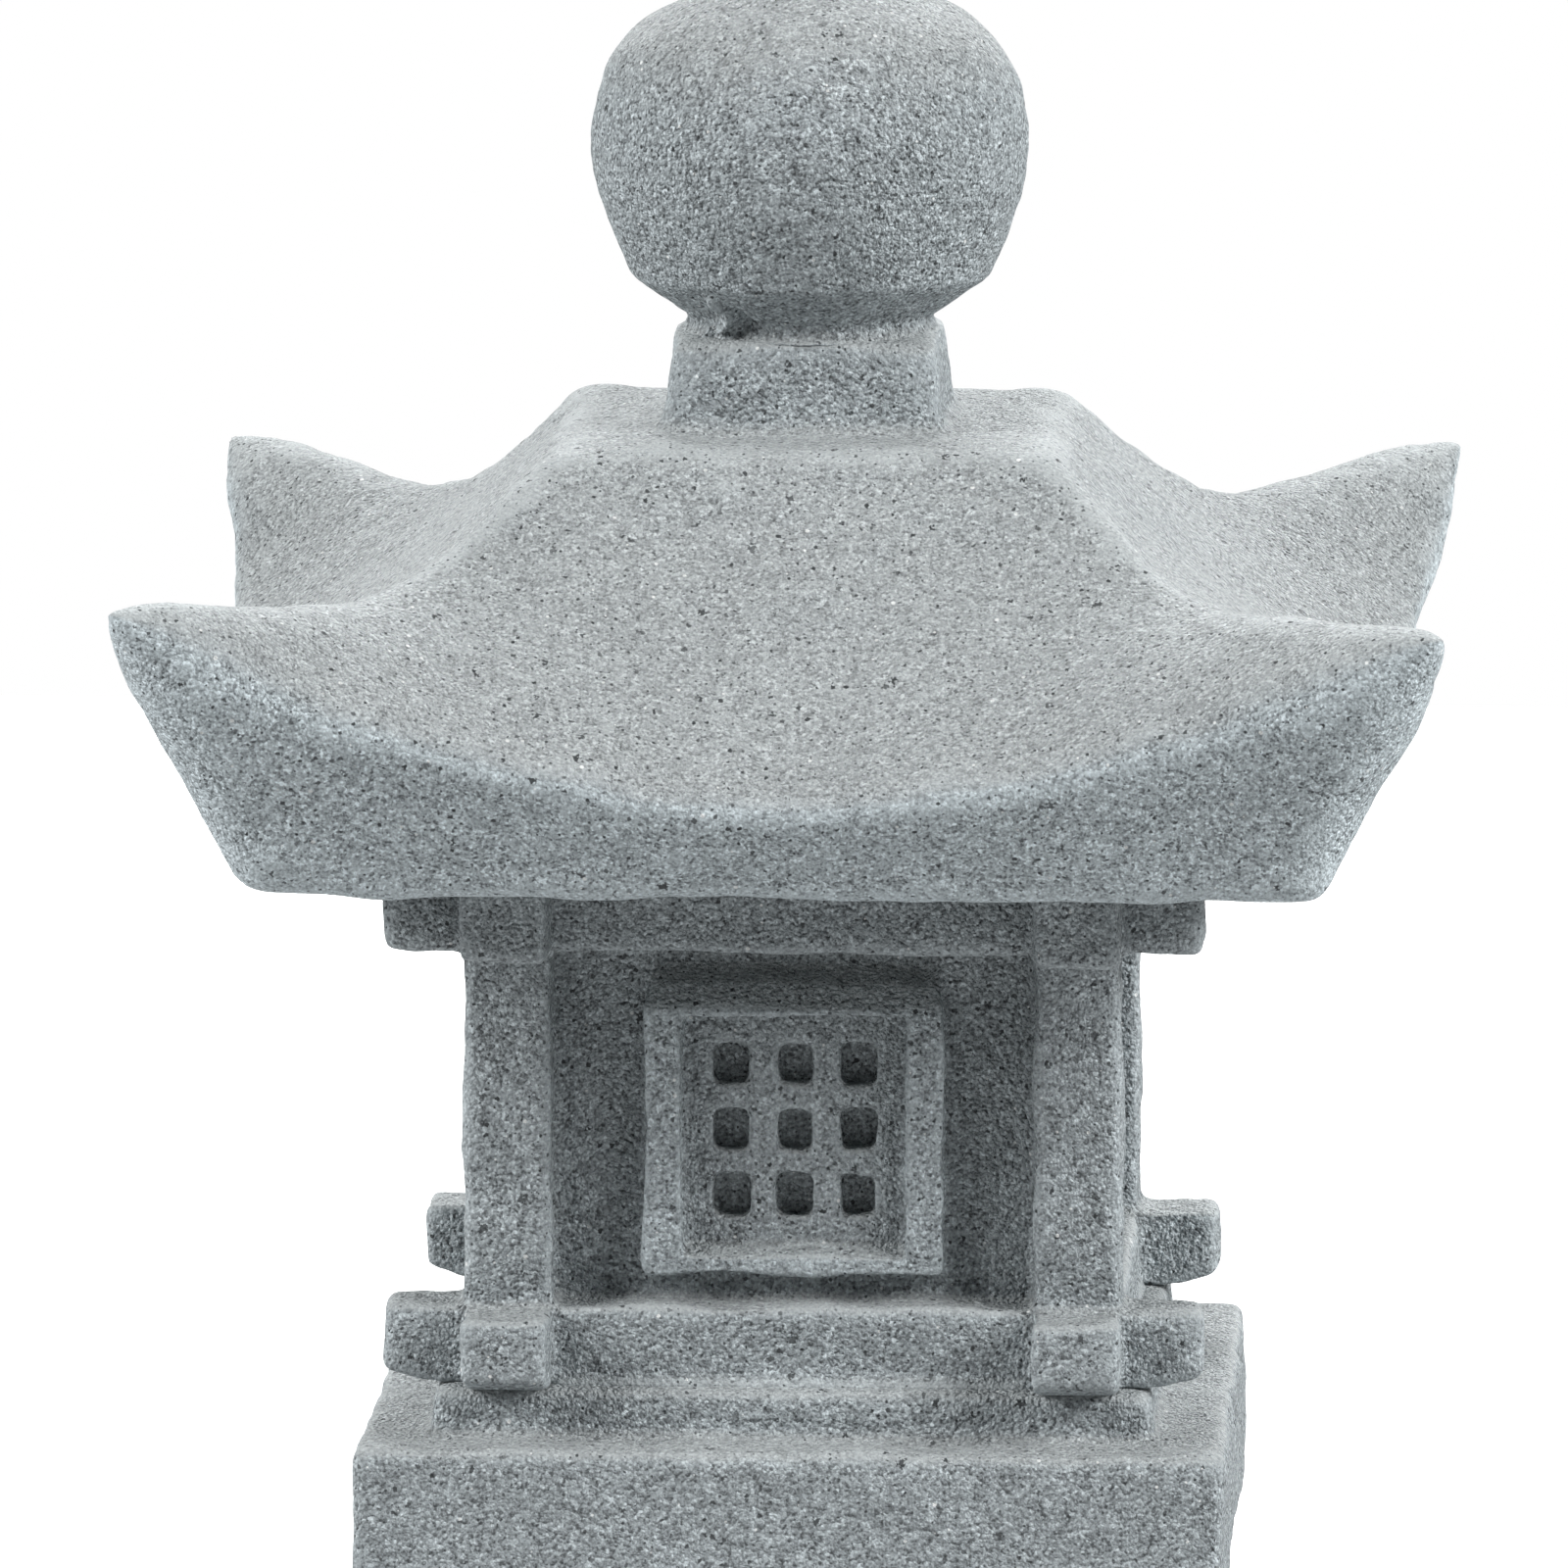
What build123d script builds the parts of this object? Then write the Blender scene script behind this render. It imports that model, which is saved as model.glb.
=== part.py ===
from build123d import *
import os

# A small square garden lantern of the Nishinoya kind: six stones stacked dry.
# Millimetres. +Z is up, the origin is the middle of the base's underside, the front faces -Y.
# The lantern is the same on all four sides, so most sizes are half-widths from its upright axis.

# Round tenons that locate the stones on each other
tenon_gap = 0.1          # radial gap between a tenon and its mortise
mortise_extra = 1.0      # a mortise is this much deeper than its tenon is long
tenon_radius = 9.0
post_tenon_length = 9.0
firebox_tenon_length = 6.0

# Base
base_half = 45.0
base_plinth_height = 17.0
base_pad_half = 31.0
base_height = 26.0
base_corner = 2.5

# Post
post_foot_half = 26.5
post_waist_half = 21.8
post_head_half = 20.5
post_height = 62.0
post_corner = 1.5

# Platform
platform_seat_half = 26.0
platform_shoulder_half = 44.0
platform_shoulder_height = 8.0
slab_half = 49.9
slab_height = 20.0
slab_edge = 1.5
step_half = 41.2
step_height = 5.7
step_edge = 1.2

# Firebox: beams cross near their ends, with posts between the two rings of beams
beam_half = 47.0         # half the length of a beam
beam_inner = 27.8
beam_outer = 37.7
lower_beam_height = 8.9
upper_beam_height = 9.8
beam_bevel_length = 4.4  # the undersides of the lower beams slope up towards their tips
beam_bevel_rise = 1.6
beam_edge = 0.9
firebox_height = 60.0
wall_outer = 31.1

# Blind window on each side of the firebox, heights from the firebox's underside
frame_half = 17.2
frame_bottom = 12.2
frame_top = 44.1
frame_depth = 3.1
opening_half = 12.9
opening_bottom = 14.2
opening_top = 42.4
sill_rise = 1.3
lattice_middle = 28.7
lattice_count = 3
lattice_pitch_across = 7.35
lattice_pitch_up = 7.65
lattice_pocket_width = 4.12
lattice_pocket_height = 4.8
lattice_pocket_depth = 4.5
lattice_pocket_corner = 0.6

# Roof, heights from its underside
roof_foot_half = 61.1    # half-width of the flat underside
eave_middle_half = 69.0  # half-width to the eave in the middle of a side
eave_tip_half = 76.6     # half-width to the eave at a corner
corner_power = 1.7       # how sharply the eave and the slopes curl up towards the corners
slope_top_half = 28.4    # where the slopes meet the flat top
slope_top_height = 47.2
slope_start = 1.02       # fall of a slope, in the middle of a side, just below the flat top
slope_ease = 0.00334     # how much that fall eases, for each millimetre outwards
hip_valley_half = 50.2   # lowest place on a hip, before it turns up to the corner
hip_valley_height = 32.1
hip_curve = 0.0368       # rise of the hip from that place towards the flat top
hip_upturn = 3.3         # rise of the hip from that place to the corner
hip_upturn_length = 20.5
roof_corner = 5.0
roof_foot_edge = 3.0
roof_core_half = 17.0
slopes_per_side = 4      # loft sections between the middle of a side and a hip
slope_points = 7         # points down each section

# Square dew basin on top of the roof
basin_foot_half = 16.1
basin_top_half = 15.3
basin_height = 10.6
basin_top_edge = 1.0

# Finial: a jewel on a short neck, heights from the top of the basin
finial_tenon_radius = 6.0
finial_tenon_length = 8.0
neck_foot_radius = 14.6
neck_radius = 13.9
neck_height = 1.6
jewel_corner_radius = 20.9
jewel_corner_height = 6.4
jewel_radius = 25.3
jewel_middle_height = 20.3
jewel_shoulder_radius = 21.8
jewel_shoulder_height = 33.3
jewel_cone_radius = 15.3
jewel_cone_height = 37.9
jewel_tip_radius = 2.4
jewel_tip_height = 46.0
finial_height = 46.8

# Heights of the resting faces
post_bottom = base_height
platform_bottom = post_bottom + post_height
slab_bottom = platform_bottom + platform_shoulder_height
slab_top = slab_bottom + slab_height
firebox_bottom = slab_top + step_height
firebox_top = firebox_bottom + firebox_height
roof_top = firebox_top + slope_top_height
basin_top = roof_top + basin_height

os.makedirs("parts", exist_ok=True)


def side_plane(side, distance):
    """The upright plane on one side of the lantern, looking outwards, its local Y upwards."""
    outwards = Vector(0, -1, 0).rotate(Axis.Z, 90 * side)
    along = Vector(1, 0, 0).rotate(Axis.Z, 90 * side)
    return Plane(origin=outwards * distance, x_dir=along, z_dir=outwards)


def slope_height(half):
    """Height of the roof's slope in the middle of a side, at a distance from the axis."""
    run = half - slope_top_half
    return slope_top_height - slope_start * run + slope_ease * run**2


def hip_height(half):
    """Height of a hip, the ridge over a corner, at the same distance measured along a side."""
    inside = max(hip_valley_half - half, 0)
    upturn = min(max((half - hip_valley_half) / hip_upturn_length, 0), 1)
    height = hip_valley_height + hip_curve * inside**2 + hip_upturn * upturn**2 * (3 - 2 * upturn)
    return max(min(height, slope_top_height), slope_height(half))


def roof_point(turn, half):
    """Distance from the axis and height on the roof's top; turn runs from 0 at mid-side to 1 at a hip."""
    curl = turn**corner_power
    height = slope_height(half) + (hip_height(half) - slope_height(half)) * curl
    return half * (1 + turn**2) ** 0.5, height


# Base: a square plinth with a weathered top and a pad that carries the post
with BuildPart() as base:
    with BuildSketch():
        RectangleRounded(2 * base_half, 2 * base_half, base_corner)
    extrude(amount=base_plinth_height)
    fillet(base.edges().group_by(Axis.Z)[-1], radius=1.2)
    with BuildSketch(Plane.XY.offset(base_plinth_height)):
        RectangleRounded(2 * base_half - 4, 2 * base_half - 4, base_corner)
    with BuildSketch(Plane.XY.offset(base_height - 2)):
        RectangleRounded(2 * base_pad_half, 2 * base_pad_half, base_corner)
    loft()
    with BuildSketch(Plane.XY.offset(base_height - 2)):
        RectangleRounded(2 * base_pad_half, 2 * base_pad_half, base_corner)
    extrude(amount=2)
    with Locations((0, 0, base_height)):
        Hole(radius=tenon_radius + tenon_gap, depth=post_tenon_length + mortise_extra)
base.part.label = "base"
export_step(base.part, "parts/base.step")


# Post: a square shaft that flares towards its foot, with a round tenon at each end
with BuildPart() as post:
    for profile_plane, combine in ((Plane.XZ, Mode.ADD), (Plane.YZ, Mode.INTERSECT)):
        with BuildSketch(profile_plane):
            with BuildLine():
                right_side = ThreePointArc(
                    (post_foot_half, post_bottom),
                    (post_waist_half, post_bottom + post_height / 2),
                    (post_head_half, post_bottom + post_height),
                )
                mirror(right_side, about=Plane.YZ)
                Line((-post_foot_half, post_bottom), (post_foot_half, post_bottom))
                Line((-post_head_half, platform_bottom), (post_head_half, platform_bottom))
            make_face()
        extrude(amount=2 * post_foot_half, both=True, mode=combine)
    corner_edges = post.edges().filter_by(lambda edge: edge.bounding_box().size.Z > post_height / 2)
    fillet(corner_edges, radius=post_corner)
    with Locations((0, 0, (post_bottom + platform_bottom) / 2)):
        Cylinder(radius=tenon_radius, height=post_height + 2 * post_tenon_length)
post.part.label = "post"
export_step(post.part, "parts/post.step")


# Platform: a sloped shoulder under a thick slab, with a step and a tenon for the firebox on top
with BuildPart() as platform:
    with BuildSketch(Plane.XY.offset(platform_bottom)):
        RectangleRounded(2 * platform_seat_half, 2 * platform_seat_half, post_corner)
    with BuildSketch(Plane.XY.offset(slab_bottom)):
        RectangleRounded(2 * platform_shoulder_half, 2 * platform_shoulder_half, base_corner)
    loft()
    with BuildSketch(Plane.XY.offset(slab_bottom)):
        RectangleRounded(2 * slab_half, 2 * slab_half, slab_edge)
    extrude(amount=slab_height)
    slab_rims = platform.edges().filter_by(lambda edge: abs(edge.center().X) > slab_half - slab_edge
                                           or abs(edge.center().Y) > slab_half - slab_edge)
    fillet(slab_rims.filter_by(Axis.Z, reverse=True), radius=slab_edge * 0.9)
    with BuildSketch(Plane.XY.offset(slab_top)):
        RectangleRounded(2 * step_half, 2 * step_half, step_edge)
    extrude(amount=step_height)
    fillet(platform.edges().group_by(Axis.Z)[-1], radius=step_edge * 0.9)
    with BuildSketch(Plane.XY.offset(firebox_bottom)):
        Circle(tenon_radius)
    extrude(amount=firebox_tenon_length)
    with BuildSketch(Plane.XY.offset(platform_bottom)):
        Circle(tenon_radius + tenon_gap)
    extrude(amount=post_tenon_length + mortise_extra, mode=Mode.SUBTRACT)
platform.part.label = "platform"
export_step(platform.part, "parts/platform.step")


# Firebox: a block with a blind window in each side, inside a cage of posts and crossing beams
with BuildPart() as firebox:
    beam_width = beam_outer - beam_inner
    beam_spacing = beam_outer + beam_inner
    with BuildSketch(Plane.XY.offset(firebox_bottom)):
        Rectangle(2 * wall_outer, 2 * wall_outer)
        with GridLocations(beam_spacing, beam_spacing, 2, 2):
            Rectangle(beam_width, beam_width)
    extrude(amount=firebox_height)
    beam_rings = (
        (firebox_bottom, lower_beam_height),
        (firebox_top - upper_beam_height, upper_beam_height),
    )
    for ring_bottom, ring_height in beam_rings:
        with BuildSketch(Plane.XY.offset(ring_bottom)):
            with GridLocations(0, beam_spacing, 1, 2):
                Rectangle(2 * beam_half, beam_width)
            with GridLocations(beam_spacing, 0, 2, 1):
                Rectangle(beam_width, 2 * beam_half)
        extrude(amount=ring_height)
    beam_tips = firebox.edges().filter_by(
        lambda edge: max(abs(edge.center().X), abs(edge.center().Y)) > beam_half - 0.01
        and edge.center().Z > firebox_bottom + 0.01
    )
    fillet(beam_tips, radius=beam_edge)
    for side in range(4):
        with BuildSketch(side_plane(side + 1, 0)):
            for tip in (-beam_half, beam_half):
                bevel_start = tip * (1 - beam_bevel_length / beam_half)
                with BuildLine():
                    Polyline(
                        (bevel_start, firebox_bottom),
                        (tip, firebox_bottom),
                        (tip, firebox_bottom + beam_bevel_rise),
                        close=True,
                    )
                make_face()
        extrude(amount=beam_half, mode=Mode.SUBTRACT)
    for side in range(4):
        frame_middle = firebox_bottom + (frame_bottom + frame_top) / 2
        opening_middle = firebox_bottom + (opening_bottom + opening_top) / 2
        with BuildSketch(side_plane(side, wall_outer)):
            with Locations((0, frame_middle)):
                RectangleRounded(2 * frame_half, frame_top - frame_bottom, lattice_pocket_corner)
            with Locations((0, opening_middle)):
                Rectangle(2 * opening_half, opening_top - opening_bottom, mode=Mode.SUBTRACT)
        extrude(amount=frame_depth)
        with BuildSketch(side_plane(side + 1, -opening_half)):
            with BuildLine():
                Polyline(
                    (-wall_outer, firebox_bottom + opening_bottom),
                    (-wall_outer - frame_depth, firebox_bottom + opening_bottom),
                    (-wall_outer, firebox_bottom + opening_bottom + sill_rise),
                    close=True,
                )
            make_face()
        extrude(amount=2 * opening_half)
        with BuildSketch(side_plane(side, wall_outer)):
            with Locations((0, firebox_bottom + lattice_middle)):
                with GridLocations(lattice_pitch_across, lattice_pitch_up, lattice_count, lattice_count):
                    RectangleRounded(lattice_pocket_width, lattice_pocket_height, lattice_pocket_corner)
        extrude(amount=-lattice_pocket_depth, mode=Mode.SUBTRACT)
    with BuildSketch(Plane.XY.offset(firebox_bottom)):
        Circle(tenon_radius + tenon_gap)
    extrude(amount=firebox_tenon_length + mortise_extra, mode=Mode.SUBTRACT)
    with BuildSketch(Plane.XY.offset(firebox_top)):
        Circle(tenon_radius)
    extrude(amount=firebox_tenon_length)
firebox.part.label = "firebox"
export_step(firebox.part, "parts/firebox.step")


# Roof: four slopes that curl up to the corners, with the square dew basin worked on its top
with BuildPart() as roof:
    with BuildSketch(Plane.XY.offset(firebox_top)):
        Rectangle(2 * roof_core_half, 2 * roof_core_half)
    extrude(amount=slope_top_height)
    for side in range(4):
        for step in range(-slopes_per_side, slopes_per_side + 1):
            turn = abs(step) / slopes_per_side
            swing = Vector(step / slopes_per_side, -1, 0).rotate(Axis.Z, 90 * side).normalized()
            stretch = (1 + turn**2) ** 0.5
            eave_half = eave_middle_half + (eave_tip_half - eave_middle_half) * turn**corner_power
            fall = eave_half - slope_top_half
            slope = [roof_point(turn, eave_half - fall * i / slope_points) for i in range(slope_points + 1)]
            section_plane = Plane(
                origin=(0, 0, firebox_top), x_dir=swing, z_dir=swing.cross(Vector(0, 0, 1))
            )
            with BuildSketch(section_plane):
                with BuildLine():
                    Line((roof_core_half * stretch, 0), (roof_foot_half * stretch, 0))
                    Line((roof_foot_half * stretch, 0), slope[0])
                    Spline(*slope)
                    Line(slope[-1], (roof_core_half * stretch, slope_top_height))
                    Line((roof_core_half * stretch, slope_top_height), (roof_core_half * stretch, 0))
                make_face()
        loft()
    corner_edges = roof.edges().filter_by(
        lambda edge: min(abs(edge.center().X), abs(edge.center().Y)) > roof_foot_half
    )
    fillet(corner_edges, radius=roof_corner)
    fillet(roof.edges().group_by(Axis.Z)[0], radius=roof_foot_edge)
    with BuildSketch(Plane.XY.offset(roof_top)):
        RectangleRounded(2 * basin_foot_half, 2 * basin_foot_half, basin_top_edge)
    with BuildSketch(Plane.XY.offset(basin_top)):
        RectangleRounded(2 * basin_top_half, 2 * basin_top_half, basin_top_edge)
    loft()
    fillet(roof.edges().group_by(Axis.Z)[-1], radius=basin_top_edge * 0.9)
    with BuildSketch(Plane.XY.offset(firebox_top)):
        Circle(tenon_radius + tenon_gap)
    extrude(amount=firebox_tenon_length + mortise_extra, mode=Mode.SUBTRACT)
    with Locations((0, 0, basin_top)):
        Hole(radius=finial_tenon_radius + tenon_gap, depth=finial_tenon_length + mortise_extra)
roof.part.label = "roof"
export_step(roof.part, "parts/roof.step")


# Finial: half an outline turned about the upright axis
with BuildPart() as finial:
    with BuildSketch(Plane.XZ):
        with BuildLine():
            Line(
                (0, basin_top - finial_tenon_length),
                (finial_tenon_radius, basin_top - finial_tenon_length),
            )
            Line(
                (finial_tenon_radius, basin_top - finial_tenon_length),
                (finial_tenon_radius, basin_top),
            )
            Line((finial_tenon_radius, basin_top), (neck_foot_radius, basin_top))
            Line((neck_foot_radius, basin_top), (neck_radius, basin_top + neck_height))
            Line(
                (neck_radius, basin_top + neck_height),
                (jewel_corner_radius, basin_top + jewel_corner_height),
            )
            Spline(
                (jewel_corner_radius, basin_top + jewel_corner_height),
                (jewel_radius, basin_top + jewel_middle_height),
                (jewel_shoulder_radius, basin_top + jewel_shoulder_height),
                (jewel_cone_radius, basin_top + jewel_cone_height),
                (jewel_tip_radius, basin_top + jewel_tip_height),
                (0, basin_top + finial_height),
                tangents=((0.45, 1), (-1, 0)),
            )
            Line((0, basin_top + finial_height), (0, basin_top - finial_tenon_length))
        make_face()
    revolve(axis=Axis.Z)
finial.part.label = "finial"
export_step(finial.part, "parts/finial.step")
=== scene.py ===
import math

import bmesh
import bpy
import numpy as np
from mathutils import Matrix, Vector
from mathutils.kdtree import KDTree


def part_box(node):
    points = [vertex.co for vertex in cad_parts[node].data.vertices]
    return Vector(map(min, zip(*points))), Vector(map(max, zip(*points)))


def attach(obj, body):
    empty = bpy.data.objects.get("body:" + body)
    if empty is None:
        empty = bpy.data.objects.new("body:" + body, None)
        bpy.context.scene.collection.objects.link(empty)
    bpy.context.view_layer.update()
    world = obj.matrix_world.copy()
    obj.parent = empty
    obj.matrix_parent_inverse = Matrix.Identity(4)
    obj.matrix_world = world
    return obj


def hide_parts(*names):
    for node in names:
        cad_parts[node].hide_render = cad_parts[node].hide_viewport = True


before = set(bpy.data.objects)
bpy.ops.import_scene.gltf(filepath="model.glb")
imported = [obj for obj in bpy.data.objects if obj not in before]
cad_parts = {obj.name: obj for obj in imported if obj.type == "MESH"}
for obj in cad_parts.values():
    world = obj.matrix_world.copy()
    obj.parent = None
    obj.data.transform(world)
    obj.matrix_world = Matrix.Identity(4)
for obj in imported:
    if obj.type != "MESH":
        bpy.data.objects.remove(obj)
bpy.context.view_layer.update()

MM = 0.001

# The camera, in degrees and metres: near-parallel, from a little to the right and a little above
AZIMUTH = 3.0
ELEVATION = 8.83
DISTANCE = 2.031
VIEW_WIDTH = 0.1826
TARGET_ABOVE_SLAB = 0.0698
TARGET_LEFT_OF_AXIS = 0.0029

# How each stone is remeshed: the grid of its surface and how far its edges are worn, in millimetres
STONES = {
    "base": {"voxel": 0.85, "wear": 1.0},
    "post": {"voxel": 0.6, "wear": 0.9},
    "platform": {"voxel": 0.72, "wear": 0.85},
    "firebox": {"voxel": 0.45, "wear": 0.8},
    "roof": {"voxel": 0.72, "wear": 0.8},
    "finial": {"voxel": 0.33, "wear": 0.6},
}
STEP_EDGE_WEAR = 1.1
MAX_TRIANGLES = 195000

# Heights, in millimetres from the ground
POST_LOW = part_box("base")[1].z / MM
PLATFORM_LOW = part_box("platform")[0].z / MM
FIREBOX_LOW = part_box("firebox")[0].z / MM
FIREBOX_TOP = FIREBOX_LOW + 60.0
BASIN_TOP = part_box("roof")[1].z / MM
ROOF_TOP = BASIN_TOP - 10.6
STEP_HEIGHT = 5.7
# Faces that rest on the stone below stay flat
RESTING = (0.0, POST_LOW, PLATFORM_LOW, FIREBOX_LOW, FIREBOX_TOP, BASIN_TOP)

# Distances from the lantern's axis, in millimetres
TENON = 9.0
STEP = 41.2
BEAM_OUTER = 37.7
BEAM_INNER = 27.8
WALL = 31.1
ROOF_FOOT = 61.1
BASIN = 16.1
NECK_FOOT = 14.6

# The window on each side of the firebox, in millimetres; its heights are from the firebox's underside
FRAME_HALF = 17.2
FRAME_LOW = 12.2
FRAME_TOP = 44.1
FRAME_FRONT = WALL + 3.1
UPPER_BEAM_LOW = 50.2
POCKETS_HALF = 10.6
POCKETS_LOW = 17.0
POCKETS_TOP = 40.0
POCKET_FILL = 1.3
BEVEL_LOW = FRAME_TOP - 1.1
BEVEL_SLOPE = 0.95
HOLLOW_DEPTH = 2.6
WINDOW_WEAR = 0.45

# How far the places on the roof are worn after its plain wear, in millimetres
ROOF_WEAR = {
    "crown": 1.5,
    "basin corners": 1.6,
    "basin foot": 1.1,
    "eave": 2.3,
    "eave ends": 2.4,
    "corners": 2.4,
    "tips": 2.2,
}

# How the roof's corners are out of true, in millimetres: its foot outwards, its tip outwards, its tip up;
# for each corner (right, rear)
CORNER_SHIFTS = {
    (-1, -1): (0.8, 1.6, 0.9),
    (1, -1): (0.1, 1.2, -0.9),
    (-1, 1): (-0.8, 0.2, 1.5),
    (1, 1): (0.7, 1.1, 1.2),
}
CROWN_SHIFT = 0.6

# Unevenness of the cast faces: the distance between bumps and their height, in millimetres
UNEVEN = ((17.0, 0.20), (7.0, 0.09), (2.6, 0.035))
UNEVEN_ROOF_FOOT = ((21.0, 0.28), (8.0, 0.10))

# The sizes of what makes up the stone's surface, in millimetres
GRAIN_SIZE = 0.42
FINE_SIZE = 0.37
CLUMP_SIZE = 1.2
EDGE_SIZE = 1.5
PATCH_SIZE = 2.4
CLOUD_SIZE = 16.0
RELIEF_SIZE = 0.56
LUMP_SIZE = 2.6
RELIEF_DEPTH = 0.95

# The stone's colours, as linear grey levels; the first of each pair is a place on the noise
GRAIN_GREYS = ((0.36, 0.085), (0.50, 0.18), (0.62, 0.29), (0.78, 0.38), (0.92, 0.50), (1.02, 0.68))
PASTE_GREYS = ((0.25, 0.32), (0.75, 0.43))
CLOUD_GREYS = ((0.3, 0.94), (0.7, 1.0))
# Painted shade: the grey that hollows and creases are darkened towards
HOLLOW_SHADE_GREY = 0.215
SPECK_GREY = 0.055
CRYSTAL_COLOUR = (0.80, 0.81, 0.80)
# How much paste covers the sand on edges, in patches and on level faces
PASTE_ON = {"edges": 0.40, "patches": 0.30, "level faces": 0.38}
# How much lighter the colour is made where a face is marked pale (painted light from below on the roof's
# outer faces), and on level faces (painted light from above)
PALE_AND_PAINTED_LIGHT_TINT = (1.36, 1.38, 1.39)
LEVEL_FACE_LIGHT_TINT = (1.095, 1.06, 1.035)
FRAME_PALENESS = 0.4
# Spots: their spacing in millimetres, how rare the widest are, and the widest's share of the spacing
SPECKS = ((4.4, 1.2, 0.115), (2.3, 1.5, 0.15), (1.4, 1.2, 0.21), (0.85, 1.5, 0.24))
CRYSTALS = (1.7, 3.0, 0.16)
CRYSTAL_STRENGTH = 0.7


# ---------------------------------------------------------------- materials

class Nodes:
    """Short calls for building a material's node tree."""

    def __init__(self, name):
        self.material = bpy.data.materials.new(name)
        self.material.use_nodes = True
        self.tree = self.material.node_tree
        self.shader = self.tree.nodes["Principled BSDF"]

    def link(self, value, socket):
        if isinstance(value, bpy.types.NodeSocket):
            self.tree.links.new(value, socket)
        elif isinstance(value, tuple):
            socket.default_value = (*value, 1.0)
        else:
            socket.default_value = value

    def math(self, operation, a, b, clamp=False):
        node = self.tree.nodes.new("ShaderNodeMath")
        node.operation = operation
        node.use_clamp = clamp
        for value, socket in zip((a, b), node.inputs):
            self.link(value, socket)
        return node.outputs[0]

    def add(self, a, b, clamp=False):
        return self.math("ADD", a, b, clamp)

    def times(self, a, b):
        return self.math("MULTIPLY", a, b)

    def centred(self, noise, amount):
        """Noise that swings about 0, scaled by an amount."""
        return self.times(self.math("SUBTRACT", noise, 0.5), amount)

    def ramp(self, value, stops):
        """A colour ramp; each stop is a position and a grey level or a colour."""
        node = self.tree.nodes.new("ShaderNodeValToRGB")
        ramp = node.color_ramp
        while len(ramp.elements) < len(stops):
            ramp.elements.new(0.5)
        for element, (position, colour) in zip(ramp.elements, stops):
            element.position = position
            if not isinstance(colour, tuple):
                colour = (colour,) * 3
            element.color = (*colour, 1.0)
        self.link(value, node.inputs["Fac"])
        return node.outputs["Color"]

    def mix(self, amount, a, b, blend="MIX"):
        node = self.tree.nodes.new("ShaderNodeMix")
        node.data_type = "RGBA"
        node.blend_type = blend
        self.link(amount, node.inputs["Factor"])
        for value, key in ((a, "A"), (b, "B")):
            self.link(value, [s for s in node.inputs if s.name == key and s.type == "RGBA"][0])
        return [s for s in node.outputs if s.type == "RGBA"][0]

    def between(self, value, low, high):
        """0 where value is at low, 1 where it is at high, and straight in between."""
        node = self.tree.nodes.new("ShaderNodeMapRange")
        self.link(value, node.inputs["Value"])
        node.inputs["From Min"].default_value = low
        node.inputs["From Max"].default_value = high
        return node.outputs["Result"]

    def millimetres(self):
        """The piece's own coordinates, in millimetres."""
        coordinates = self.tree.nodes.new("ShaderNodeTexCoord")
        scale = self.tree.nodes.new("ShaderNodeVectorMath")
        scale.operation = "SCALE"
        scale.inputs["Scale"].default_value = 1 / MM
        self.tree.links.new(coordinates.outputs["Object"], scale.inputs[0])
        return scale.outputs[0]

    def attribute(self, name):
        node = self.tree.nodes.new("ShaderNodeAttribute")
        node.attribute_name = name
        return node.outputs["Fac"]

    def facing_up(self):
        """1 on level faces, 0 on upright ones."""
        geometry = self.tree.nodes.new("ShaderNodeNewGeometry")
        split = self.tree.nodes.new("ShaderNodeSeparateXYZ")
        self.tree.links.new(geometry.outputs["Normal"], split.inputs[0])
        return self.between(split.outputs["Z"], 0.25, 0.75)

    def noise(self, where, size, detail=2.0):
        """Noise whose features are about size millimetres across."""
        node = self.tree.nodes.new("ShaderNodeTexNoise")
        node.inputs["Scale"].default_value = 1.0 / size
        node.inputs["Detail"].default_value = detail
        self.tree.links.new(where, node.inputs["Vector"])
        return node.outputs["Fac"]

    def cells(self, where, size):
        """Cells about size millimetres across: the distance from a cell's middle, and two random numbers."""
        node = self.tree.nodes.new("ShaderNodeTexVoronoi")
        node.inputs["Scale"].default_value = 1.0 / size
        self.tree.links.new(where, node.inputs["Vector"])
        parts = self.tree.nodes.new("ShaderNodeSeparateColor")
        self.tree.links.new(node.outputs["Color"], parts.inputs[0])
        return node.outputs["Distance"], parts.outputs[0], parts.outputs[1]

    def bump(self, height, distance_mm, strength):
        node = self.tree.nodes.new("ShaderNodeBump")
        self.link(strength, node.inputs["Strength"])
        node.inputs["Distance"].default_value = distance_mm * MM
        self.link(height, node.inputs["Height"])
        return node.outputs[0]


def stone_grey(level):
    """A grey of the stone, which leans to blue."""
    return 0.905 * level, level, 1.04 * level


def sand_in_paste(n, mm, fine, grain_grey, edge):
    """Sand grains, each with its own grey, in paler cement paste that covers edges and level faces more."""
    sand = n.add(n.times(grain_grey, 0.42), fine)
    sand = n.add(sand, n.centred(n.noise(mm, CLUMP_SIZE, detail=1.0), 0.27))
    grains = n.ramp(sand, [(place, stone_grey(level)) for place, level in GRAIN_GREYS])
    paste = n.ramp(fine, [(place, stone_grey(level)) for place, level in PASTE_GREYS])
    patch = n.between(n.noise(mm, PATCH_SIZE), 0.50, 0.72)
    pasty = n.add(n.times(edge, PASTE_ON["edges"]), n.times(patch, PASTE_ON["patches"]))
    pasty = n.add(pasty, n.times(n.facing_up(), PASTE_ON["level faces"]), clamp=True)
    return n.mix(pasty, grains, paste)


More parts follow.
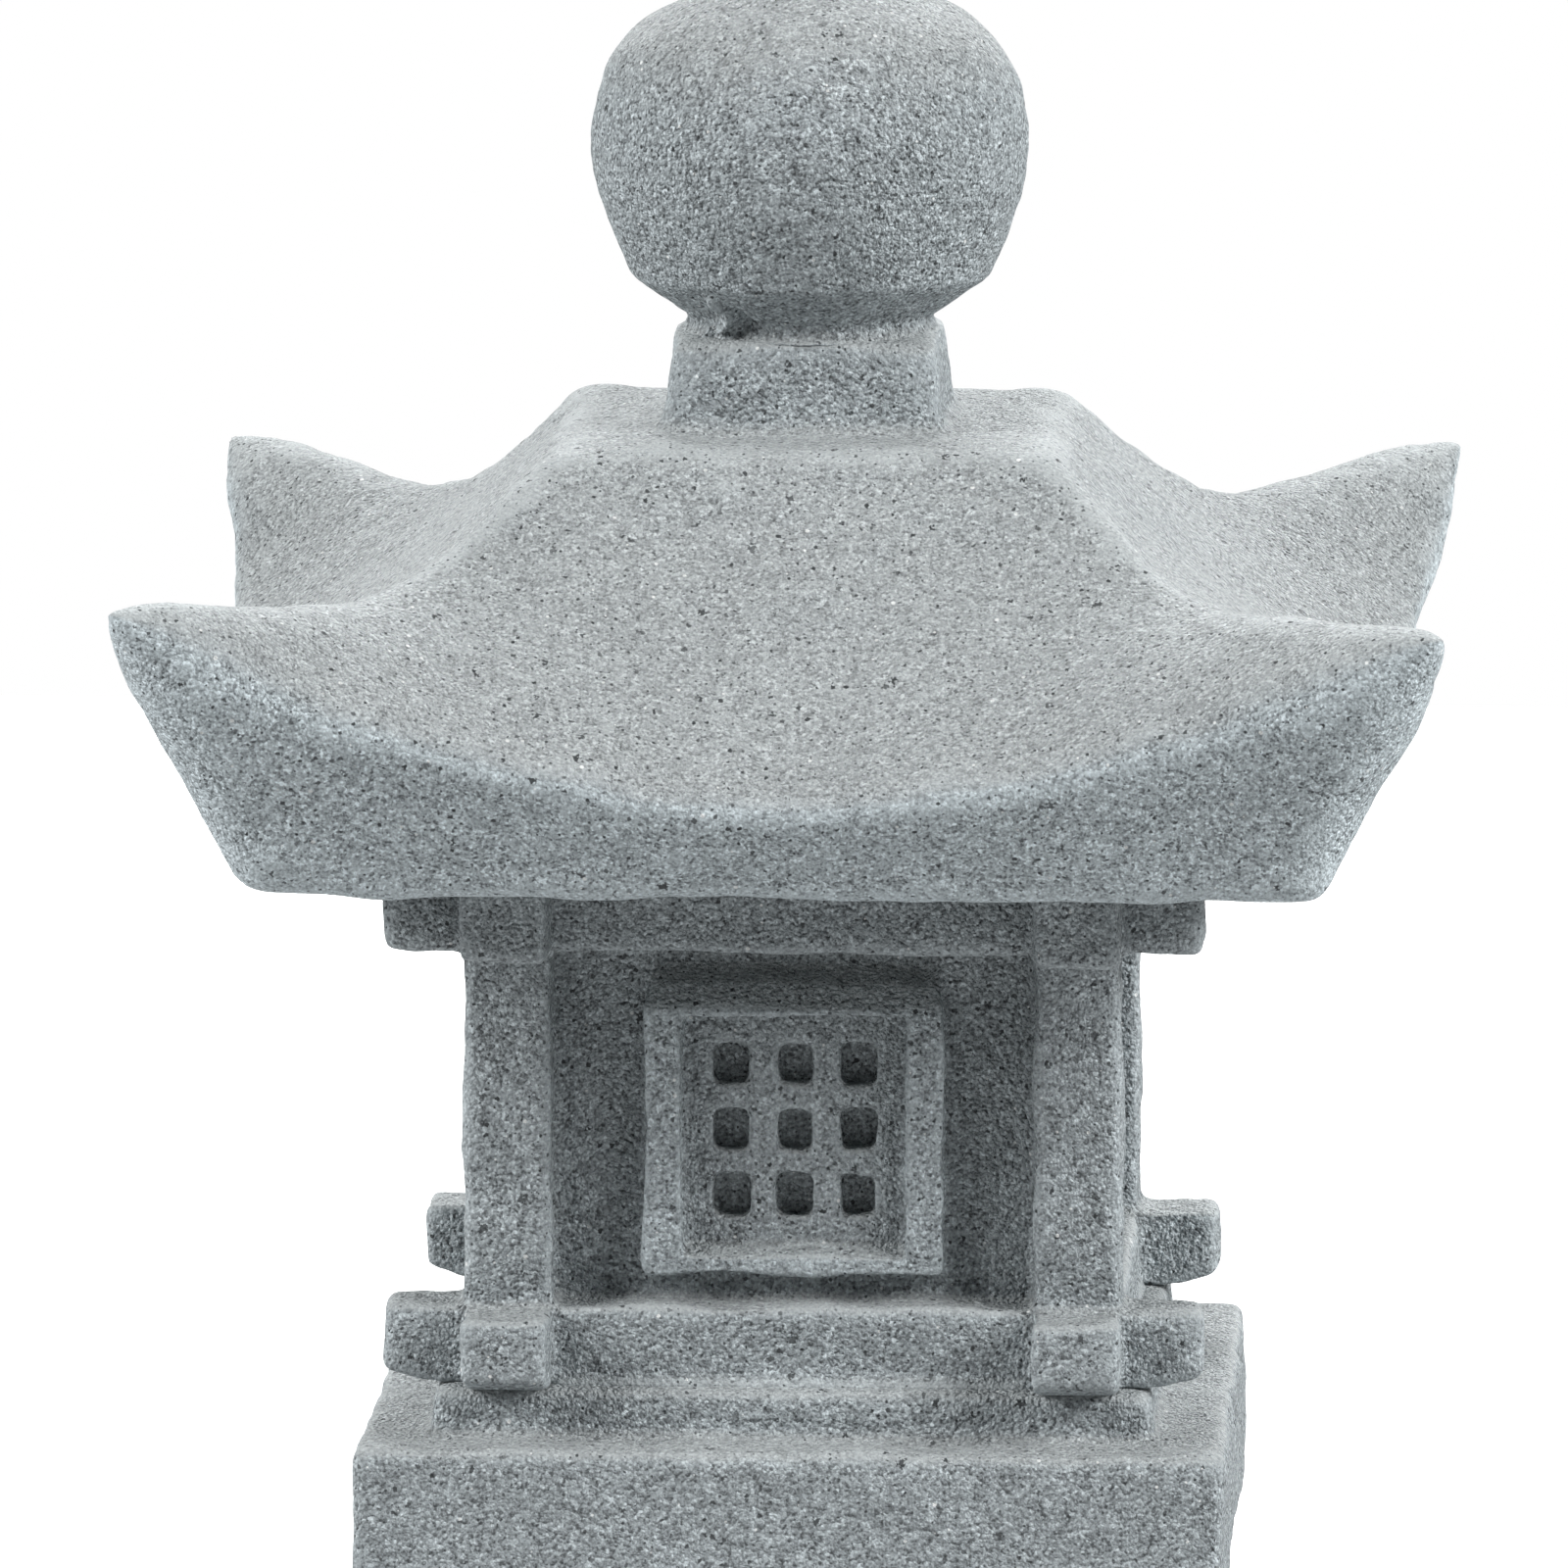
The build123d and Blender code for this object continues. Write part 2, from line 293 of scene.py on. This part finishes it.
def weathered_with_painted_light(n, mm, colour, bend):
    """Soft clouds, painted shade in hollows, painted light on level faces, and a lighter colour where a face
    is marked pale.
    """
    cloud = n.ramp(n.noise(mm, CLOUD_SIZE, detail=3.0), CLOUD_GREYS)
    colour = n.mix(1.0, colour, cloud, blend="MULTIPLY")
    # Painted shade: where the surface is hollow, in creases and where parts meet, the colour is darkened a
    # little
    hollow = n.between(bend, -0.02, -0.22)
    colour = n.mix(n.times(hollow, 0.10), colour, stone_grey(HOLLOW_SHADE_GREY))
    # Painted light: faces marked pale are lightened; on the roof's outer faces this stands for light from
    # below
    colour = n.mix(n.attribute("pale"), colour, PALE_AND_PAINTED_LIGHT_TINT, blend="MULTIPLY")
    # Painted light: level faces are made lighter and warmer, as if lit from above
    return n.mix(n.facing_up(), colour, LEVEL_FACE_LIGHT_TINT, blend="MULTIPLY")


def spot(n, distance, random_width, rarity, widest):
    """1 in a spot at the middle of each cell, 0 around it; most spots are narrow and few near the widest."""
    width = n.times(n.math("POWER", random_width, rarity), widest)
    return n.math("LESS_THAN", distance, width)


def with_spots(n, mm, colour, fine):
    """Dark specks of different sizes with ragged outlines, and a few bright crystals."""
    for spacing, rarity, widest in SPECKS:
        distance, random_width, random_tone = n.cells(mm, spacing)
        ragged = n.add(distance, n.centred(fine, 0.45))
        speck = spot(n, ragged, random_width, rarity, widest)
        darkness = n.between(random_tone, -1.0, 0.8)
        colour = n.mix(n.times(speck, darkness), colour, stone_grey(SPECK_GREY))
    spacing, rarity, widest = CRYSTALS
    distance, random_width, _ = n.cells(mm, spacing)
    crystal = spot(n, distance, random_width, rarity, widest)
    return n.mix(n.times(crystal, CRYSTAL_STRENGTH), colour, CRYSTAL_COLOUR)


def cast_stone():
    """Grey cast stone: light and dark sand in cement, dark specks, and smoother, paler paste at the edges."""
    n = Nodes("cast_stone")
    mm = n.millimetres()
    bend = n.attribute("bend")
    edge = n.between(n.add(bend, n.centred(n.noise(mm, EDGE_SIZE), 0.12)), 0.05, 0.20)
    fine = n.noise(mm, FINE_SIZE)
    grain_distance, grain_grey, _ = n.cells(mm, GRAIN_SIZE)
    colour = sand_in_paste(n, mm, fine, grain_grey, edge)
    colour = weathered_with_painted_light(n, mm, colour, bend)
    colour = with_spots(n, mm, colour, fine)
    n.link(colour, n.shader.inputs["Base Color"])
    n.shader.inputs["Roughness"].default_value = 0.88
    n.shader.inputs["Specular IOR Level"].default_value = 0.25

    # Relief of the grains, weaker in the smooth paste
    height = n.add(n.noise(mm, RELIEF_SIZE), n.times(grain_distance, -0.3))
    height = n.add(height, n.times(n.noise(mm, LUMP_SIZE, detail=1.0), 0.7))
    strength = n.math("SUBTRACT", 1.0, n.times(edge, 0.45))
    n.link(n.bump(height, RELIEF_DEPTH, strength), n.shader.inputs["Normal"])
    return n.material


# ---------------------------------------------------------------- stones

class Surface:
    """A mesh's vertices in millimetres, with what is needed to smooth and push them."""

    def __init__(self, mesh):
        self.mesh = mesh
        self.count = len(mesh.vertices)
        points = np.zeros(self.count * 3, np.float32)
        mesh.vertices.foreach_get("co", points)
        self.points = points.reshape(-1, 3).astype(float) / MM
        edges = np.zeros(len(mesh.edges) * 2, np.int32)
        mesh.edges.foreach_get("vertices", edges)
        self.edges = edges.reshape(-1, 2)
        self.degree = np.bincount(self.edges.ravel(), minlength=self.count)
        spacing = np.linalg.norm(self.points[self.edges[:, 0]] - self.points[self.edges[:, 1]], axis=1)
        self.spacing = float(spacing.mean())

    def average(self, values):
        """The mean of each vertex's neighbours."""
        total = np.zeros_like(values)
        first, second = self.edges.T
        for column in range(values.shape[1]):
            total[:, column] = np.bincount(first, values[second, column], self.count)
            total[:, column] += np.bincount(second, values[first, column], self.count)
        return total / np.maximum(self.degree, 1)[:, None]

    def rounds(self, reach):
        """How many smoothing rounds blur the surface over a reach in millimetres."""
        return max(1, round(4 * (reach / self.spacing) ** 2))

    def smooth(self, reach, where=None):
        """Wears the edges and fills the corners; where is 0 to 1 for each vertex."""
        for _ in range(self.rounds(reach)):
            step = (self.average(self.points) - self.points) * 0.5
            if where is not None:
                step *= where[:, None]
            self.points += step

    def blurred(self, values, reach):
        values = values.reshape(self.count, -1)
        for _ in range(self.rounds(reach)):
            values = (values + self.average(values)) / 2
        return values

    def store(self):
        flat = (self.points * MM).astype(np.float32).ravel()
        self.mesh.vertices.foreach_set("co", flat)
        self.mesh.update()

    def normals(self):
        self.store()
        flat = np.zeros(self.count * 3, np.float32)
        self.mesh.vertices.foreach_get("normal", flat)
        return flat.reshape(-1, 3).astype(float)


def waves(points, size, seed):
    """Smooth random unevenness between about -1 and 1, whose bumps are about size millimetres apart."""
    generator = np.random.default_rng(seed)
    total = np.zeros(len(points))
    count = 28
    for _ in range(count):
        direction = generator.normal(size=3)
        direction *= 2 * np.pi / size / np.linalg.norm(direction) * generator.uniform(0.7, 1.4)
        total += np.cos(points @ direction + generator.uniform(0, 2 * np.pi))
    return total / np.sqrt(count)


def step_up(values, low, high):
    """0 up to low, 1 from high, smooth in between."""
    part = np.clip((values - low) / (high - low), 0, 1)
    return part * part * (3 - 2 * part)


def near_line(across, up, corners):
    """Distance from each point to a line through corners, on a flat or unrolled surface."""
    best = np.full(len(across), 1e9)
    for (x0, y0), (x1, y1) in zip(corners, corners[1:]):
        run, rise = x1 - x0, y1 - y0
        along = np.clip(((across - x0) * run + (up - y0) * rise) / (run * run + rise * rise), 0, 1)
        best = np.minimum(best, np.hypot(across - x0 - along * run, up - y0 - along * rise))
    return best


def ridge(distance, width):
    """1 on a line, falling to 0 within about twice the width beside it."""
    return np.exp(-((distance / width) ** 2))


def neck_curl(points):
    """Height of the curl of squeezed paste on the front left of the finial's neck."""
    turn = np.degrees(np.arctan2(points[:, 0], -points[:, 1]))
    # The neck is unrolled around the curl's middle, 34 degrees to the left, at 0.25 mm for each degree
    across = (turn + 34.0) * 0.25
    up = points[:, 2] - BASIN_TOP
    curl = near_line(across, up, [(0.1, 4.9), (1.1, 3.7), (0.1, 2.5), (-2.9, 1.3), (-3.6, 0.4)])
    groove = near_line(across, up, [(1.35, 3.9), (2.0, 3.4), (2.0, 2.3), (1.35, 1.1), (0.6, 0.65)])
    lump = np.hypot((across + 0.9) / 1.6, (up - 1.6) / 1.2)
    height = 1.1 * ridge(curl, 0.42) - 0.7 * ridge(groove, 0.38)
    height += 1.1 * ridge(lump, 1.0) * step_up(up, 0.02, 0.4)
    in_front = (points[:, 1] < 0) & (up > 0) & (up < 7)
    return height * in_front


def add_frame_slopes(mesh):
    """Adds the slope of cement that lies on top of each window frame, against the wall."""
    solid = bmesh.new()
    solid.from_mesh(mesh)
    inside, foot = WALL - 0.3, FRAME_TOP - 0.2
    profile = ((inside, foot), (FRAME_FRONT - 1.0, foot), (inside, FRAME_TOP + 3.1))
    half = FRAME_HALF - 0.6
    for side in range(4):
        turn = Matrix.Rotation(side * math.pi / 2, 3, "Z")
        corners = [
            solid.verts.new(turn @ Vector((across, -distance, FIREBOX_LOW + up)) * MM)
            for across in (-half, half)
            for distance, up in profile
        ]
        for face in ((0, 2, 1), (3, 4, 5), (0, 1, 4, 3), (1, 2, 5, 4), (2, 0, 3, 5)):
            solid.faces.new([corners[index] for index in face])
    solid.to_mesh(mesh)
    solid.free()


def remeshed(node):
    """A copy of the CAD stone on an even grid."""
    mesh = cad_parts[node].data.copy()
    mesh.name = f"{node}_stone"
    if node == "firebox":
        add_frame_slopes(mesh)
    stone = bpy.data.objects.new(f"{node}_stone", mesh)
    bpy.context.scene.collection.objects.link(stone)
    mesh.materials.clear()
    weld = stone.modifiers.new("weld", "WELD")
    weld.merge_threshold = 0.00001
    remesh = stone.modifiers.new("remesh", "REMESH")
    remesh.mode = "VOXEL"
    remesh.voxel_size = STONES[node]["voxel"] * MM
    bake(stone)
    return stone


def bake(stone):
    """Applies the modifiers to the mesh."""
    depsgraph = bpy.context.evaluated_depsgraph_get()
    baked = bpy.data.meshes.new_from_object(stone.evaluated_get(depsgraph))
    stone.modifiers.clear()
    old = stone.data
    stone.data = baked
    bpy.data.meshes.remove(old)


def outwards(points):
    """For each point the direction straight out of the side it is on."""
    flat = points[:, :2]
    return np.where(np.abs(flat) == np.abs(flat).max(1)[:, None], np.sign(flat), 0)


def from_axis(points):
    """Each point's distance from the lantern's axis."""
    return np.hypot(points[:, 0], points[:, 1])


def sides_of(points):
    """Each point's distance from the axis out to its side, and its distance from the middle of that side."""
    flat = np.abs(points[:, :2])
    return flat.max(1), flat.min(1)


def within(values, low, high):
    """Whether each value is between low and high."""
    return (values > low) & (values < high)


def shape_windows(surface):
    """Bevels the top of each window frame, hollows the wall above it and makes the pockets shallower."""
    side, across = sides_of(surface.points)
    up = surface.points[:, 2] - FIREBOX_LOW
    bevelled = within(up, BEVEL_LOW, FRAME_TOP + 0.2) & (side < FRAME_FRONT + 0.8)
    bevelled &= across < FRAME_HALF + 0.3
    inwards = np.clip(side - (FRAME_FRONT - BEVEL_SLOPE * (up - BEVEL_LOW)), 0, None) * bevelled
    hollow = within(side, WALL - 1.1, WALL + 1.4) * (1 - step_up(across, FRAME_HALF - 2.7, FRAME_HALF - 0.2))
    hollow *= step_up(up, FRAME_TOP + 1.7, FRAME_TOP + 3.5)
    hollow *= 1 - step_up(up, UPPER_BEAM_LOW - 0.6, UPPER_BEAM_LOW - 0.1)
    inwards += HOLLOW_DEPTH * hollow
    pockets = within(up, POCKETS_LOW, POCKETS_TOP) & (across < POCKETS_HALF) & (side < WALL - 3.3)
    inwards -= POCKET_FILL * pockets
    surface.points[:, :2] -= outwards(surface.points) * inwards[:, None]


def wear_firebox(surface, reach):
    """Its windows are worn less than its beams, and its underside's edge only at the tips of the beams."""
    side, across = sides_of(surface.points)
    shape_windows(surface)
    up = surface.points[:, 2] - FIREBOX_LOW
    window = within(up, FRAME_LOW - 0.7, FRAME_TOP + 0.9) & (across < FRAME_HALF + 0.8)
    window &= within(side, WALL - 7.1, FRAME_FRONT + 1.3)
    loose = 1 - 0.95 * (side < BEAM_OUTER + 3.3) * (1 - step_up(up, 0.5, 1.4))
    surface.smooth(WINDOW_WEAR, where=loose)
    surface.smooth((reach**2 - WINDOW_WEAR**2) ** 0.5, where=loose * (1.0 - window))


def wear_finial(surface, reach):
    """The edge around the finial's seat stays sharp."""
    from_seat = np.abs(surface.points[:, 2] - BASIN_TOP)
    surface.smooth(reach, where=0.05 + 0.95 * step_up(from_seat, 0.3, 1.3))


def wear_platform(surface, reach):
    """The upper edge of its step is worn more."""
    side, _ = sides_of(surface.points)
    surface.smooth(reach)
    step_edge = step_up(surface.points[:, 2], FIREBOX_LOW - 3.5, FIREBOX_LOW - 2.0)
    surface.smooth(STEP_EDGE_WEAR, where=step_edge * step_up(side, STEP - 2.6, STEP - 1.6))


def wear_roof(surface, reach):
    """Its eaves, corners and flat top are worn more, and its seat for the finial less."""
    side, across = sides_of(surface.points)
    # This height follows the points as they are smoothed
    height = surface.points[:, 2]
    seat = step_up(height, BASIN_TOP - 1.6, BASIN_TOP - 0.6)
    surface.smooth(reach, where=1 - 0.85 * seat)
    crown = step_up(height, ROOF_TOP - 9, ROOF_TOP - 4) * step_up(side, BASIN + 2.4, BASIN + 4.9)
    surface.smooth(ROOF_WEAR["crown"], where=crown)
    basin_corners = step_up(from_axis(surface.points), BASIN - 0.7, BASIN + 1.3)
    basin_corners *= step_up(height, BASIN_TOP - 4.5, BASIN_TOP - 2.5)
    surface.smooth(ROOF_WEAR["basin corners"], where=basin_corners)
    basin = (1 - seat) * step_up(height, ROOF_TOP - 2, ROOF_TOP + 0.5)
    basin *= 1 - step_up(side, BASIN + 2.9, BASIN + 4.9)
    surface.smooth(ROOF_WEAR["basin foot"], where=basin)
    eave = step_up(height, FIREBOX_TOP + 4, FIREBOX_TOP + 8) * step_up(side, ROOF_FOOT - 3.1, ROOF_FOOT + 1.9)
    surface.smooth(ROOF_WEAR["eave"], where=eave)
    surface.smooth(ROOF_WEAR["eave ends"], where=eave * step_up(across, 25.0, 50.0))
    corner = step_up(across, 46.0, 56.0) * step_up(side, 50.0, 56.0)
    corner *= 0.4 + 0.6 * step_up(height, FIREBOX_TOP + 1, FIREBOX_TOP + 8)
    corner *= 1 - 0.6 * step_up(height, FIREBOX_TOP + 26, FIREBOX_TOP + 34)
    surface.smooth(ROOF_WEAR["corners"], where=corner)
    tip = step_up(height, FIREBOX_TOP + 22, FIREBOX_TOP + 27)
    tip *= step_up(from_axis(surface.points), 94.0, 101.0)
    surface.smooth(ROOF_WEAR["tips"], where=tip)


def wear(node, surface):
    """Rounds the stone's edges, more in some places than in others."""
    reach = STONES[node]["wear"]
    if node == "firebox":
        wear_firebox(surface, reach)
    elif node == "finial":
        wear_finial(surface, reach)
    elif node == "platform":
        wear_platform(surface, reach)
    elif node == "roof":
        wear_roof(surface, reach)
    else:
        surface.smooth(reach)


def cove(points, away, zone, foot, tall, reach, dip):
    """The foot of a face drawn out and down to meet the stone below; zone is 1 where the face has a cove."""
    curve = np.clip(1 - (points[:, 2] - foot) / tall, 0, 1) ** 2 * zone
    return np.column_stack((away * (reach * curve)[:, None], -dip * (curve > 0.2)))


def beam_coves(points):
    """The front of each lower beam spreads where it meets the platform's step."""
    side, across = sides_of(points)
    zone = step_up(side, BEAM_OUTER - 0.7, BEAM_OUTER - 0.3)
    zone *= 1 - step_up(side, BEAM_OUTER + 0.3, BEAM_OUTER + 0.9)
    zone *= 1 - step_up(across, BEAM_INNER - 1.3, BEAM_INNER + 0.2)
    return cove(points, outwards(points), zone, foot=FIREBOX_LOW, tall=1.6, reach=1.5, dip=0.35)


def neck_cove(points):
    """The finial's neck spreads where it meets the top of the basin."""
    radius = from_axis(points)
    zone = step_up(radius, NECK_FOOT - 1.2, NECK_FOOT - 0.4)
    away = points[:, :2] / radius[:, None].clip(1.0)
    return cove(points, away, zone, foot=BASIN_TOP, tall=1.3, reach=0.9, dip=0.3)


def uneven(points, sizes, seed):
    """A sum of waves of several sizes, each with its own seed."""
    return sum(height * waves(points, size, seed + index) for index, (size, height) in enumerate(sizes))


def roof_shifts(points, seed):
    """The roof's corners and flat top stand a little out of true, and its lower edge is uneven."""
    offset = np.zeros_like(points)
    side, _ = sides_of(points)
    height = points[:, 2]
    for corner, (foot_out, tip_out, tip_up) in CORNER_SHIFTS.items():
        towards = points[:, :2] * corner
        raised = step_up(towards, 40.0, 74.0).prod(1) * step_up(height, FIREBOX_TOP + 4, FIREBOX_TOP + 26)
        spread = step_up(towards, 40.0, 62.0).prod(1) * foot_out + raised * (tip_out - foot_out)
        offset[:, :2] += spread[:, None] * corner
        offset[:, 2] += raised * tip_up
    crown = step_up(height, ROOF_TOP - 16, ROOF_TOP - 4) * step_up(side, BASIN + 2.4, BASIN + 4.9)
    offset[:, 0] += CROWN_SHIFT * crown
    foot = step_up(side, ROOF_FOOT - 5.1, ROOF_FOOT - 1.1)
    foot *= 1 - step_up(height, FIREBOX_TOP + 2, FIREBOX_TOP + 5)
    offset[:, 2] += foot * uneven(points, UNEVEN_ROOF_FOOT, seed)
    return offset


def push(node, surface):
    """Makes the faces uneven, except where a stone rests or a tenon fits, and adds the stone's own marks."""
    points = surface.points
    seed = sorted(STONES).index(node) * 10
    height = uneven(points, UNEVEN, seed)
    if node == "finial":
        height *= points[:, 2] > BASIN_TOP
        height += neck_curl(points)
    else:
        height *= step_up(from_axis(points), TENON + 1.5, TENON + 4.0)
    offset = surface.normals() * height[:, None]
    for level in RESTING:
        offset[:, 2] *= step_up(np.abs(points[:, 2] - level), 0.15, 1.2)
    if node == "firebox":
        offset += beam_coves(points)
    if node == "finial":
        offset += neck_cove(points)
    if node == "roof":
        offset += roof_shifts(points, seed + len(UNEVEN))
    surface.points = points + offset


def bend_of(surface, reach):
    """How far each vertex stands out of the surface around it: above 0 on edges, below 0 in hollows."""
    out = ((surface.points - surface.blurred(surface.points, reach)) * surface.normals()).sum(1)
    return surface.blurred(out, 0.4)[:, 0]


def thinned(stone, surface, values):
    """Thins a stone that has too many triangles, and returns the values at the vertices that are left."""
    stone.data.calc_loop_triangles()
    triangles = len(stone.data.loop_triangles)
    if triangles <= MAX_TRIANGLES:
        return values
    nearest = KDTree(surface.count)
    for index, place in enumerate(surface.points * MM):
        nearest.insert(place, index)
    nearest.balance()
    thin = stone.modifiers.new("thin", "DECIMATE")
    thin.ratio = MAX_TRIANGLES / triangles
    bake(stone)
    return np.array([values[nearest.find(vertex.co)[1]] for vertex in stone.data.vertices])


def painted_light_and_paleness(node, surface):
    """Where the colour is made paler: painted light from below on the roof's outer faces, and less so on the
    window frames.
    """
    side, across = sides_of(surface.points)
    if node == "roof":
        # Painted light: the roof's outer faces that lean down are lightened as if lit from below
        facing_up = step_up(surface.normals()[:, 2], -0.1, 0.5)
        return step_up(side, ROOF_FOOT - 4.1, ROOF_FOOT - 1.1) * (1 - facing_up)
    if node == "firebox":
        up = surface.points[:, 2] - FIREBOX_LOW
        frames = within(up, FRAME_LOW - 1.2, FRAME_TOP + 1.9) & within(side, WALL + 0.4, FRAME_FRONT + 1.3)
        return FRAME_PALENESS * (frames & (across < FRAME_HALF + 0.4))
    return np.zeros(surface.count)


def mark(mesh, name, values):
    """Stores a value for each vertex, for the material to read."""
    mesh.attributes.new(name, "FLOAT", "POINT").data.foreach_set("value", values.astype(np.float32))


def stone_from(node, material):
    """A cast stone made from a CAD stone: its edges worn and its faces uneven."""
    stone = remeshed(node)
    surface = Surface(stone.data)
    wear(node, surface)
    push(node, surface)
    bend = bend_of(surface, reach=1.6 if node == "roof" else 0.9)
    bend = thinned(stone, surface, bend)
    mesh = stone.data
    mark(mesh, "bend", bend)
    mark(mesh, "pale", painted_light_and_paleness(node, Surface(mesh)))
    mesh.polygons.foreach_set("use_smooth", [True] * len(mesh.polygons))
    mesh.materials.clear()
    mesh.materials.append(material)
    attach(stone, node)
    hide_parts(node)


# ---------------------------------------------------------------- stage

def direction(azimuth, elevation):
    """The way out from the lantern, in degrees: azimuth 0 is to the front and positive to the right."""
    turn, lift = math.radians(azimuth), math.radians(elevation)
    return Vector((math.sin(turn) * math.cos(lift), -math.cos(turn) * math.cos(lift), math.sin(lift)))


def make_floor():
    """A plain white floor. Its bounce on the stones comes from the world's lower half instead."""
    floor_look = Nodes("pale_floor")
    floor_look.link((0.85, 0.85, 0.85), floor_look.shader.inputs["Base Color"])
    floor_look.shader.inputs["Roughness"].default_value = 0.9
    floor_look.link((1.0, 1.0, 1.0), floor_look.shader.inputs["Emission Color"])
    floor_look.shader.inputs["Emission Strength"].default_value = 0.35
    mesh = bpy.data.meshes.new("floor")
    half = 1.3
    corners = [(-half, -half, 0), (half, -half, 0), (half, half, 0), (-half, half, 0)]
    mesh.from_pydata(corners, [], [(0, 1, 2, 3)])
    floor = bpy.data.objects.new("floor", mesh)
    # Just below the base, so that the two faces don't lie in each other
    floor.location.z = -0.0005
    floor.visible_diffuse = False
    floor.visible_shadow = False
    bpy.context.scene.collection.objects.link(floor)
    mesh.materials.append(floor_look.material)


def area_light(name, size, azimuth, elevation, distance, power):
    """A square soft light aimed at the lantern."""
    data = bpy.data.lights.new(name, "AREA")
    data.shape = "SQUARE"
    data.size = size
    data.energy = power
    light = bpy.data.objects.new(name, data)
    away = direction(azimuth, elevation)
    light.location = Vector((0, 0, LIGHTS_AIM)) + away * distance
    light.rotation_mode = "QUATERNION"
    light.rotation_quaternion = (-away).to_track_quat("-Z", "Y")
    bpy.context.scene.collection.objects.link(light)


# Soft boxes on both sides, one behind and a weak one overhead: size, azimuth, elevation, distance, power
LIGHTS = {
    "left": (1.0, -70, 30, 2.0, 47.7),
    "right": (1.0, 70, 30, 2.0, 55.0),
    "back": (1.0, 180, 30, 2.0, 62.0),
    "top": (1.0, 0, 88, 2.0, 4.6),
}
LIGHTS_AIM = 0.19
BOUNCE = 0.74
HORIZON = 0.02


def make_light():
    """The soft boxes, and a world that lights from below only, while the camera sees it plain white."""
    world = bpy.data.worlds.new("studio")
    world.use_nodes = True
    tree = world.node_tree
    background = tree.nodes["Background"]
    ray = tree.nodes.new("ShaderNodeTexCoord")
    split = tree.nodes.new("ShaderNodeSeparateXYZ")
    tree.links.new(ray.outputs["Generated"], split.inputs[0])
    below = tree.nodes.new("ShaderNodeMapRange")
    tree.links.new(split.outputs["Z"], below.inputs["Value"])
    below.inputs["From Min"].default_value = HORIZON
    below.inputs["From Max"].default_value = -HORIZON
    below.inputs["To Max"].default_value = BOUNCE
    seen = tree.nodes.new("ShaderNodeLightPath")
    strength = tree.nodes.new("ShaderNodeMath")
    strength.operation = "MAXIMUM"
    tree.links.new(below.outputs["Result"], strength.inputs[0])
    tree.links.new(seen.outputs["Is Camera Ray"], strength.inputs[1])
    tree.links.new(strength.outputs[0], background.inputs["Strength"])
    background.inputs["Color"].default_value = (1.0, 1.0, 1.0, 1.0)
    bpy.context.scene.world = world
    for name, settings in LIGHTS.items():
        area_light(name, *settings)
    bpy.context.scene.view_settings.view_transform = "Standard"


def make_camera():
    back = direction(AZIMUTH, ELEVATION)
    right = direction(AZIMUTH + 90, 0)
    slab_top = (FIREBOX_LOW - STEP_HEIGHT) * MM
    target = Vector((0, 0, slab_top + TARGET_ABOVE_SLAB)) - right * TARGET_LEFT_OF_AXIS
    data = bpy.data.cameras.new("camera")
    data.sensor_width = 36.0
    data.lens = data.sensor_width * DISTANCE / VIEW_WIDTH
    data.clip_start = 0.1
    data.clip_end = 30.0
    camera = bpy.data.objects.new("camera", data)
    camera.location = target + back * DISTANCE
    camera.rotation_mode = "QUATERNION"
    camera.rotation_quaternion = (-back).to_track_quat("-Z", "Y")
    bpy.context.scene.collection.objects.link(camera)
    bpy.context.scene.camera = camera


make_camera()
make_light()
make_floor()
stone_material = cast_stone()
for stone_name in STONES:
    stone_from(stone_name, stone_material)
